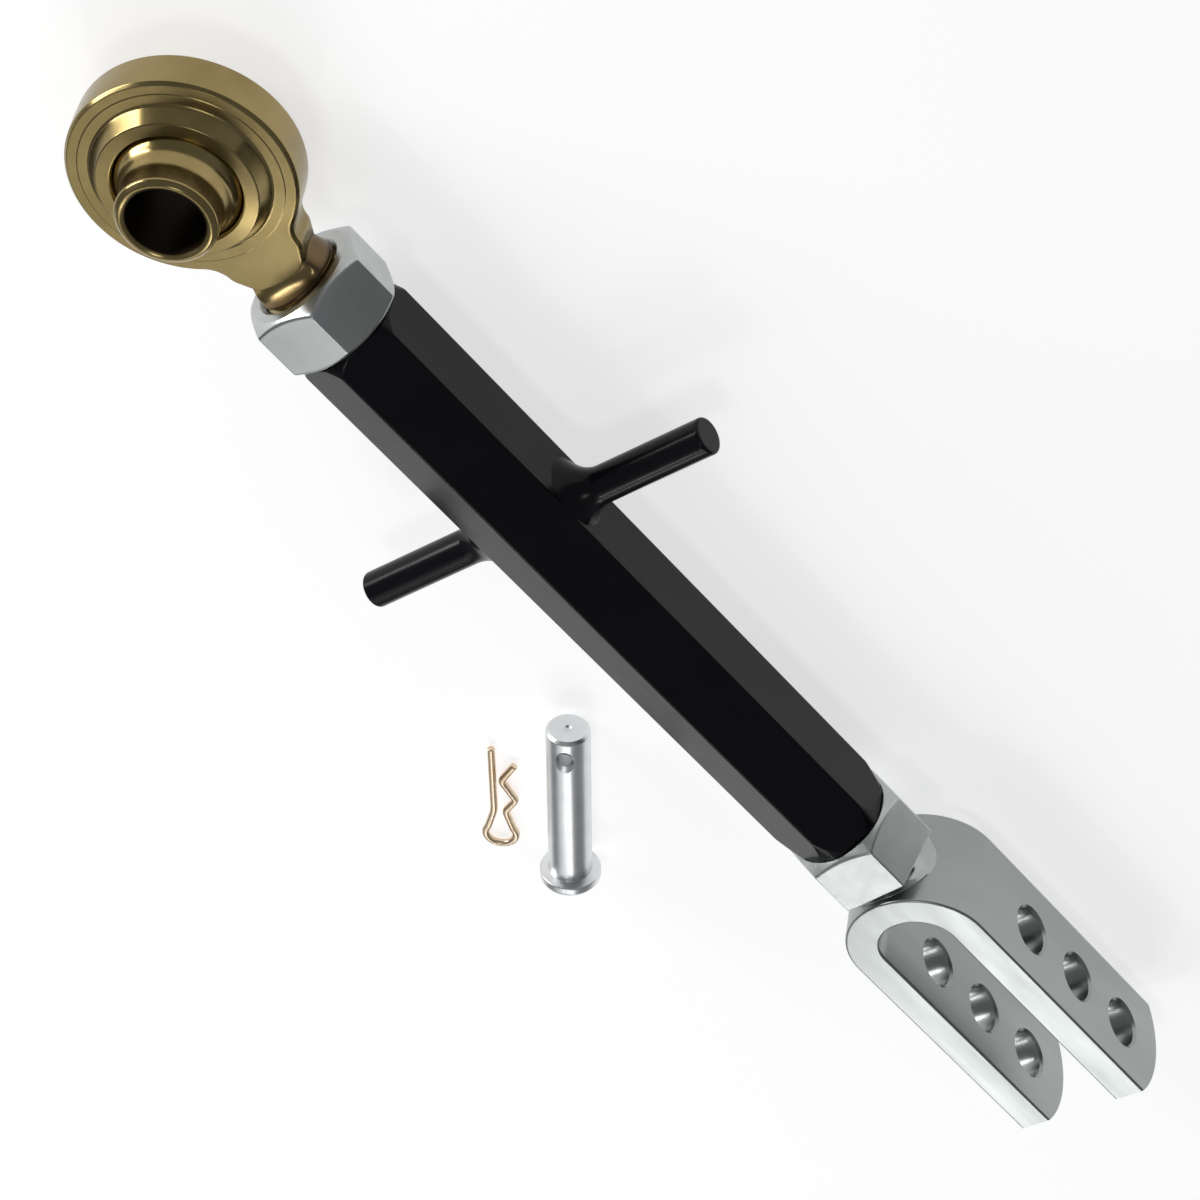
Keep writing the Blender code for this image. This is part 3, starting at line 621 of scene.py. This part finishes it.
def add_node(tree, kind, settings=None, stops=(), **links):
    """Adds a node with its settings and a ramp's stops of (position, hex colour).

    An input is named, or given as i and its number; it takes a value or a link (node, output).
    """
    node = tree.nodes.new(kind)
    for key, value in (settings or {}).items():
        setattr(node, key, value)
    if stops:
        elements = node.color_ramp.elements
        while len(elements) < len(stops):
            elements.new(0.5)
        for element, (position, colour) in zip(elements, stops):
            element.position = position
            element.color = tint(colour)
    for key, value in links.items():
        numbered = key[0] == "i" and key[1:].isdigit()
        socket = node.inputs[int(key[1:]) if numbered else key.replace("_", " ")]
        if isinstance(value, tuple) and isinstance(value[0], bpy.types.Node):
            tree.links.new(value[0].outputs[value[1]], socket)
        else:
            socket.default_value = value
    return node


def new_material(name, colour):
    """An empty material; `colour` is what a plain solid view shows."""
    material = bpy.data.materials.new(name)
    material.use_nodes = True
    material.node_tree.nodes.clear()
    material.diffuse_color = tint(colour)
    return material, material.node_tree


def millimetres(tree, stretch=1.0):
    """Object coordinates in mm from the ball's centre; patterns get `stretch` times longer in X."""
    coords = add_node(tree, "ShaderNodeTexCoord")
    apart = add_node(tree, "ShaderNodeVectorMath", {"operation": 'SUBTRACT'},
                     i0=(coords, "Object"), i1=tuple(CENTRE))
    return add_node(tree, "ShaderNodeVectorMath", {"operation": 'MULTIPLY'},
                    i0=(apart, 0), i1=(1 / MM / stretch, 1 / MM, 1 / MM))


def gold_plate(name, dark, middle, light, smooth, rough):
    """Yellow zinc plate on steel that was turned on a lathe.

    A warm metal, blotchy over 18 mm, whose highlights stretch across the tool's rings.  Shade is
    painted in, dark brown on the unturned neck by the screw and nearly black in the ball's bore;
    the plate is also rougher on both.
    """
    material, tree = new_material(name, middle)
    place = millimetres(tree)
    apart = add_node(tree, "ShaderNodeSeparateXYZ", Vector=(place, 0))
    level = add_node(tree, "ShaderNodeVectorMath", {"operation": 'MULTIPLY'},
                     i0=(place, 0), i1=(1, 1, 0))
    radius = add_node(tree, "ShaderNodeVectorMath", {"operation": 'LENGTH'}, i0=(level, 0))

    # The tool's rings are really some 0.2 mm apart, and are drawn 2.2 mm apart, so that they show.
    across = add_node(tree, "ShaderNodeCombineXYZ", X=(radius, "Value"), Y=(apart, "Z"))
    rings = add_node(tree, "ShaderNodeTexNoise", {"noise_dimensions": '2D'},
                     Vector=(across, 0), Scale=1 / 2.2, Detail=2.0)
    relief = add_node(tree, "ShaderNodeBump", Height=(rings, "Fac"), Strength=0.1,
                      Distance=RELIEF * MM)

    # 0 in the bore, where shade is painted nearly black-brown and the plate is rougher, 1 outside
    # it
    outside_painted_bore_shade = add_node(tree, "ShaderNodeMapRange", Value=(radius, "Value"),
                       From_Min=BORE_R + 0.15, From_Max=BORE_R + 0.45)
    # 0 on the neck, which starts 5 mm sooner on the tongue's sides than on its flats, 1 elsewhere;
    # the neck gets painted shade, dark brown, and a rougher plate
    height = add_node(tree, "ShaderNodeMath", {"operation": 'ABSOLUTE'}, i0=(apart, "Z"))
    on_side = add_node(tree, "ShaderNodeMath", {"operation": 'LESS_THAN'},
                       i0=(height, 0), i1=EYE_HALF - 0.25)
    reach = add_node(tree, "ShaderNodeMath", {"operation": 'MULTIPLY_ADD'},
                     i0=(on_side, 0), i1=5.0, i2=(apart, "X"))
    before = add_node(tree, "ShaderNodeMapRange", Value=(reach, 0),
                      From_Min=TONGUE_TIP_X + 1.2, From_Max=TONGUE_TIP_X - 0.8)
    beyond = add_node(tree, "ShaderNodeMapRange", Value=(apart, "X"),
                      From_Min=BALL_NUT_START, From_Max=BALL_NUT_START + 0.8)
    bright = add_node(tree, "ShaderNodeMath", {"operation": 'MAXIMUM'},
                      i0=(before, 0), i1=(beyond, 0))

    blotches, patches = [
        add_node(tree, "ShaderNodeTexNoise", Vector=(place, 0), Scale=1 / size, Detail=3.0,
                 Roughness=0.55) for size in (18, 4)]
    plate = add_node(tree, "ShaderNodeValToRGB", stops=[(0.3, dark), (0.5, middle), (0.72, light)],
                     Fac=(blotches, "Fac"))
    # Painted shade: the neck is coloured dark brown
    with_painted_neck_shade = add_node(tree, "ShaderNodeMix", {"data_type": 'RGBA'},
                         i0=(bright, 0), i6=tint("#6F5C43"), i7=(plate, "Color"))
    # Painted shade: the bore is coloured darker still, nearly black-brown
    shade = add_node(tree, "ShaderNodeMix", {"data_type": 'RGBA'},
                     i0=(outside_painted_bore_shade, 0), i6=tint("#33291E"), i7=(with_painted_neck_shade, 2))
    gloss = add_node(tree, "ShaderNodeMapRange", Value=(patches, "Fac"),
                     From_Min=0.3, From_Max=0.7, To_Min=smooth, To_Max=rough)
    gloss = add_node(tree, "ShaderNodeMix", i0=(bright, 0), i2=0.36, i3=(gloss, 0))
    gloss = add_node(tree, "ShaderNodeMix", i0=(outside_painted_bore_shade, 0), i2=0.5, i3=(gloss, 0))

    # Along the rings, at right angles to the ball's axis and to the way out from it
    along = add_node(tree, "ShaderNodeVectorMath", {"operation": 'CROSS_PRODUCT'},
                     i0=(0, 0, 1), i1=(place, 0))
    tangent = add_node(tree, "ShaderNodeVectorTransform",
                       {"convert_from": 'OBJECT', "convert_to": 'WORLD'}, Vector=(along, 0))
    shader = add_node(tree, "ShaderNodeBsdfPrincipled", Metallic=1.0, Base_Color=(shade, 2),
                      Roughness=(gloss, 0), Normal=(relief, "Normal"), Anisotropic=0.6,
                      Anisotropic_Rotation=0.25, Tangent=(tangent, 0))
    add_node(tree, "ShaderNodeOutputMaterial", Surface=(shader, 0))
    return material


def zinc_plate(name, colours, gloss, blotch, grain, strength, stretch=1.0):
    """Zinc plate on steel: a pale metal whose tone and gloss drift over `blotch` mm.

    The plate's own grain is a few hundredths of a millimetre.  `grain` is coarser, so that it
    shows as a faint unevenness in the highlights.
    """
    material, tree = new_material(name, colours[1])
    place = millimetres(tree, stretch)
    blotches, patches, grains = [
        add_node(tree, "ShaderNodeTexNoise", Vector=(place, 0), Scale=1 / size, Detail=detail,
                 Roughness=0.55)
        for size, detail in ((blotch, 3.0), (blotch / 3, 3.0), (grain, 2.0))]
    plate = add_node(tree, "ShaderNodeValToRGB", stops=list(zip((0.3, 0.52, 0.75), colours)),
                     Fac=(blotches, "Fac"))
    sheen = add_node(tree, "ShaderNodeMapRange", Value=(patches, "Fac"),
                     From_Min=0.3, From_Max=0.7, To_Min=gloss[0], To_Max=gloss[1])
    relief = add_node(tree, "ShaderNodeBump", Height=(grains, "Fac"), Strength=strength,
                      Distance=RELIEF * MM)
    shader = add_node(tree, "ShaderNodeBsdfPrincipled", Metallic=1.0, Base_Color=(plate, "Color"),
                      Roughness=(sheen, 0), Normal=(relief, "Normal"))
    add_node(tree, "ShaderNodeOutputMaterial", Surface=(shader, 0))
    return material


def black_coat(name, peel, strength):
    """Black powder coat, baked on: satin, with an orange peel about a millimetre across.

    Its gloss drifts a little over 9 mm, which breaks up the long reflections on the flats.
    """
    material, tree = new_material(name, "#101115")
    place = millimetres(tree)
    blotches, patches, peels = [
        add_node(tree, "ShaderNodeTexNoise", Vector=(place, 0), Scale=1 / size, Detail=detail,
                 Roughness=0.55) for size, detail in ((20, 3.0), (9, 3.0), (peel, 1.5))]
    coat = add_node(tree, "ShaderNodeValToRGB", stops=[(0.3, "#0E0F13"), (0.7, "#131418")],
                    Fac=(blotches, "Fac"))
    sheen = add_node(tree, "ShaderNodeMapRange", Value=(patches, "Fac"),
                     From_Min=0.3, From_Max=0.7, To_Min=0.19, To_Max=0.24)
    relief = add_node(tree, "ShaderNodeBump", Height=(peels, "Fac"), Strength=strength,
                      Distance=RELIEF * MM)
    shader = add_node(tree, "ShaderNodeBsdfPrincipled", Metallic=0.0, IOR=1.25,
                      Base_Color=(coat, "Color"), Roughness=(sheen, 0), Normal=(relief, "Normal"))
    add_node(tree, "ShaderNodeOutputMaterial", Surface=(shader, 0))
    return material


# Stage, in metres unless a name says mm

def sheet(half_x, half_y):
    """A flat sheet, given by half its sides."""
    bm = bmesh.new()
    bmesh.ops.create_grid(bm, x_segments=1, y_segments=1, size=1)
    bmesh.ops.scale(bm, vec=(half_x, half_y, 1), verts=bm.verts)
    return bm


def studio():
    """Dim room round a white floor; the lamps are the bright things in it."""
    world = bpy.data.worlds.new("studio")
    world.use_nodes = True
    bpy.context.scene.world = world
    tree = world.node_tree
    tree.nodes.clear()
    room = add_node(tree, "ShaderNodeBackground", Color=(0.95, 0.97, 1.0, 1), Strength=0.22)
    add_node(tree, "ShaderNodeOutputWorld", Surface=(room, 0))

    # White paper, which glows by itself where it is seen straight or mirrored, and so stays white
    material, tree = new_material("white_paper", "#E7E7E7")
    path = add_node(tree, "ShaderNodeLightPath")
    seen = add_node(tree, "ShaderNodeMath", {"operation": 'MAXIMUM'},
                    i0=(path, "Is Camera Ray"), i1=(path, "Is Glossy Ray"))
    seen = add_node(tree, "ShaderNodeMath", {"operation": 'MAXIMUM'},
                    i0=(seen, 0), i1=(path, "Is Transmission Ray"))
    paper = add_node(tree, "ShaderNodeBsdfDiffuse", Color=tint("#E7E7E7"))
    glow = add_node(tree, "ShaderNodeEmission", Color=tint("#FFFFFF"), Strength=0.62)
    both = add_node(tree, "ShaderNodeAddShader", i0=(paper, 0), i1=(glow, 0))
    mixed = add_node(tree, "ShaderNodeMixShader", i0=(seen, 0), i1=(paper, 0), i2=(both, 0))
    add_node(tree, "ShaderNodeOutputMaterial", Surface=(mixed, 0))
    bm = sheet(12, 12)
    shift(bm, z=cad_box[0][2] - 0.0005)
    floor = loose_object(bm, "floor")
    floor.data.materials.append(material)


def dark_card():
    """Card beyond the clevis end that keeps the paper's far glare off the nuts' upright faces."""
    # Matt black card, which mirrors nothing
    material, tree = new_material("black_card", "#0A0A0A")
    shader = add_node(tree, "ShaderNodeBsdfPrincipled", Base_Color=tint("#0A0A0A"), Roughness=0.9)
    add_node(tree, "ShaderNodeOutputMaterial", Surface=(shader, 0))
    bm = sheet(0.45, 0.09)
    turn(bm, 90, 'X')
    turn(bm, -36, 'Z')
    shift(bm, *(CENTRE + Vector((540, 375, 68)) * MM))
    card = loose_object(bm, "dark_card")
    card.data.materials.append(material)
    card.visible_camera = False
    card.visible_shadow = False


def lamp(name, towards, target_mm, distance, size, brightness):
    """A soft box that shines on a target from the direction `towards`; brightness 1 shows white."""
    data = bpy.data.lights.new(name, 'AREA')
    data.shape = 'RECTANGLE'
    data.size, data.size_y = size
    data.energy = brightness * math.pi * size[0] * size[1]
    obj = bpy.data.objects.new(name, data)
    away = Vector(towards).normalized()
    obj.location = CENTRE + Vector(target_mm) * MM + away * distance
    obj.rotation_euler = (-away).to_track_quat('-Z', 'Y').to_euler()
    obj.visible_camera = False
    bpy.context.scene.collection.objects.link(obj)


def camera():
    """The camera looks down on the link with the ball end near and at the frame's upper left."""
    right = Vector((0.6113, 0.7772, -0.1494)).normalized()
    ahead = Vector((0.5040, -0.5278, -0.6837)).normalized()
    place_mm = Vector((-293.65, 476.18, 623.11))
    right = (right - ahead * right.dot(ahead)).normalized()
    facing = Matrix((right, right.cross(ahead), -ahead)).transposed()
    data = bpy.data.cameras.new("camera")
    data.sensor_width = 36
    data.lens = 105
    data.clip_end = 40
    obj = bpy.data.objects.new("camera", data)
    obj.matrix_world = Matrix.Translation(CENTRE + place_mm * MM) @ facing.to_4x4()
    bpy.context.scene.collection.objects.link(obj)
    bpy.context.scene.camera = obj


def build():
    """Every piece of the link, with its finish, the body it rides on and the node it stands for."""
    # Steel forging, turned on its flats, boss and edges, then plated yellow
    gold = gold_plate("yellow_zinc_plate_on_forging", "#85764D", "#928156", "#9B8A5E", 0.19, 0.25)
    # The same plate on the ball, which is turned finer: paler and glossier
    ball_gold = gold_plate("yellow_zinc_plate_on_turned_ball", "#8C7B51", "#98865A", "#A29064",
                           0.17, 0.23)
    # Machined from bright bar: pale and even
    nuts = zinc_plate("clear_zinc_plate_on_nuts", ("#B4B7B6", "#BBBEBD", "#C1C4C3"), (0.29, 0.34),
                      12, 0.35, 0.1)
    # Hot-rolled flat bar: greyer, with its blotches and grain drawn out along the bar by rolling
    bar = zinc_plate("clear_zinc_plate_on_rolled_bar", ("#9A9E9C", "#9FA3A1", "#A4A8A6"),
                     (0.27, 0.33), 16, 0.5, 0.05, stretch=6.0)
    # Rolled thread: darker, with gloss that changes from turn to turn
    screw = zinc_plate("clear_zinc_plate_on_thread", ("#8F9291", "#9DA09F", "#A7AAA9"),
                       (0.2, 0.32), 4, 0.3, 0.05)
    # Weld metal that ran smooth: the glossiest of the greys
    weld = zinc_plate("clear_zinc_plate_on_weld", ("#A4A7A6", "#ADB0AF", "#B4B7B6"), (0.14, 0.2),
                      6, 1.2, 0.08)
    # Ground pin: nearly white, soft highlights
    pin = zinc_plate("bright_zinc_plate_on_pin", ("#D6D8D9", "#DCDEDF", "#E2E4E5"), (0.3, 0.36),
                     8, 0.6, 0.04)
    # Drawn spring wire with a thin yellow plate: pale straw
    spring = zinc_plate("yellow_zinc_plate_on_spring_wire", ("#D9C0A0", "#E0CAAE", "#E7D4BC"),
                        (0.28, 0.32), 12, 0.3, 0.03)
    # One powder coat over barrel, handle and welds, rougher on the weld beads
    barrel_black = black_coat("black_powder_coat_on_barrel", 1.0, 0.05)
    handle_black = black_coat("black_powder_coat_on_handle", 1.0, 0.04)
    weld_black = black_coat("black_powder_coat_on_weld", 1.6, 0.2)

    finish_piece(swivel_ball_shape(), "swivel_ball_turned", "swivel", "swivel_ball",
                 ball_gold)
    finish_piece(ball_end_shape(), "ball_end_forged", "ball_end", "ball_end_forging",
                 gold)

    # The ball end's nut is chamfered at both ends, the clevis end's at the barrel only
    chamfer, full_face = (14.8, 0.625, 0.5), (18.1, 0.3, 0.3)
    nut = hexagon_piece(BALL_NUT_START, NUT_HEIGHT, NUT_FLATS, 0.7, 7, chamfer, chamfer)
    finish_piece(nut, "ball_end_nut", "ball_lock_nut", "lock_nut_ball_end", nuts)
    nut = hexagon_piece(CLEVIS_NUT_START, NUT_HEIGHT, NUT_FLATS, 0.5, -6, chamfer, full_face)
    finish_piece(nut, "clevis_end_nut", "clevis_lock_nut", "lock_nut_clevis_end",
                 nuts)

    # The barrel's corners are trimmed steeply, and most of all at the clevis end
    barrel = hexagon_piece(BARREL_START, BARREL_END - BARREL_START, BARREL_FLATS, 0.9, 30,
                           (14.9, 1.875, 0.6), (14.9, 5.625, 0.6))
    finish_piece(barrel, "barrel_hexagon", "barrel", "hex_barrel", barrel_black)
    finish_piece(handle_shape(), "cross_handle", "barrel", "handle_bar",
                 handle_black)
    finish_piece(handle_weld_shape(1), "weld_right", "barrel", "handle_weld_right",
                 weld_black, weighted=False)
    finish_piece(handle_weld_shape(-1), "weld_left", "barrel", "handle_weld_left",
                 weld_black, weighted=False)

    finish_piece(yoke_shape(), "yoke_bent", "clevis_end", "clevis_yoke", bar)
    stud = thread_shape(CLEVIS_SCREW_START, CLEVIS_SCREW_END, right_hand=False, tip_at_end=False)
    finish_piece(stud, "clevis_screw_threaded", "clevis_end", "clevis_stud", screw,
                 weighted=False)
    finish_piece(stud_weld_shape(), "crown_weld", "clevis_end", "stud_weld", weld,
                 weighted=False)
    finish_piece(pin_shape(), "headed_pin", "pin", "clevis_pin", pin)
    finish_piece(clip_shape(), "hairpin", "clip", "hairpin_clip", spring,
                 weighted=False)


build()
studio()
dark_card()
camera()
# name, direction it shines from, target in mm, distance, size, brightness
lamp("wide_box", (0.40, -0.65, 0.65), (50, 0, 0), 1.2, (0.62, 0.62), 0.8)
lamp("clevis_box", (0.66, -0.455, 0.595), (350, 0, 16), 2.0, (0.5, 0.5), 3.9)
lamp("clevis_nut_box", (0.594, -0.353, 0.723), (275, 2, 16), 1.2, (0.2, 0.2), 2.2)
lamp("eye_box", (0.53, -0.45, 0.70), (0, 0, 10), 1.2, (0.12, 0.12), 11.0)
lamp("low_box", (-0.88, -0.42, 0.12), (0, 0, 0), 0.9, (0.5, 0.2), 16.0)
lamp("key", (-0.2, 0.15, 1.0), (100, 0, 0), 1.4, (0.3, 0.3), 5.0)
bpy.context.scene.view_settings.view_transform = 'Standard'
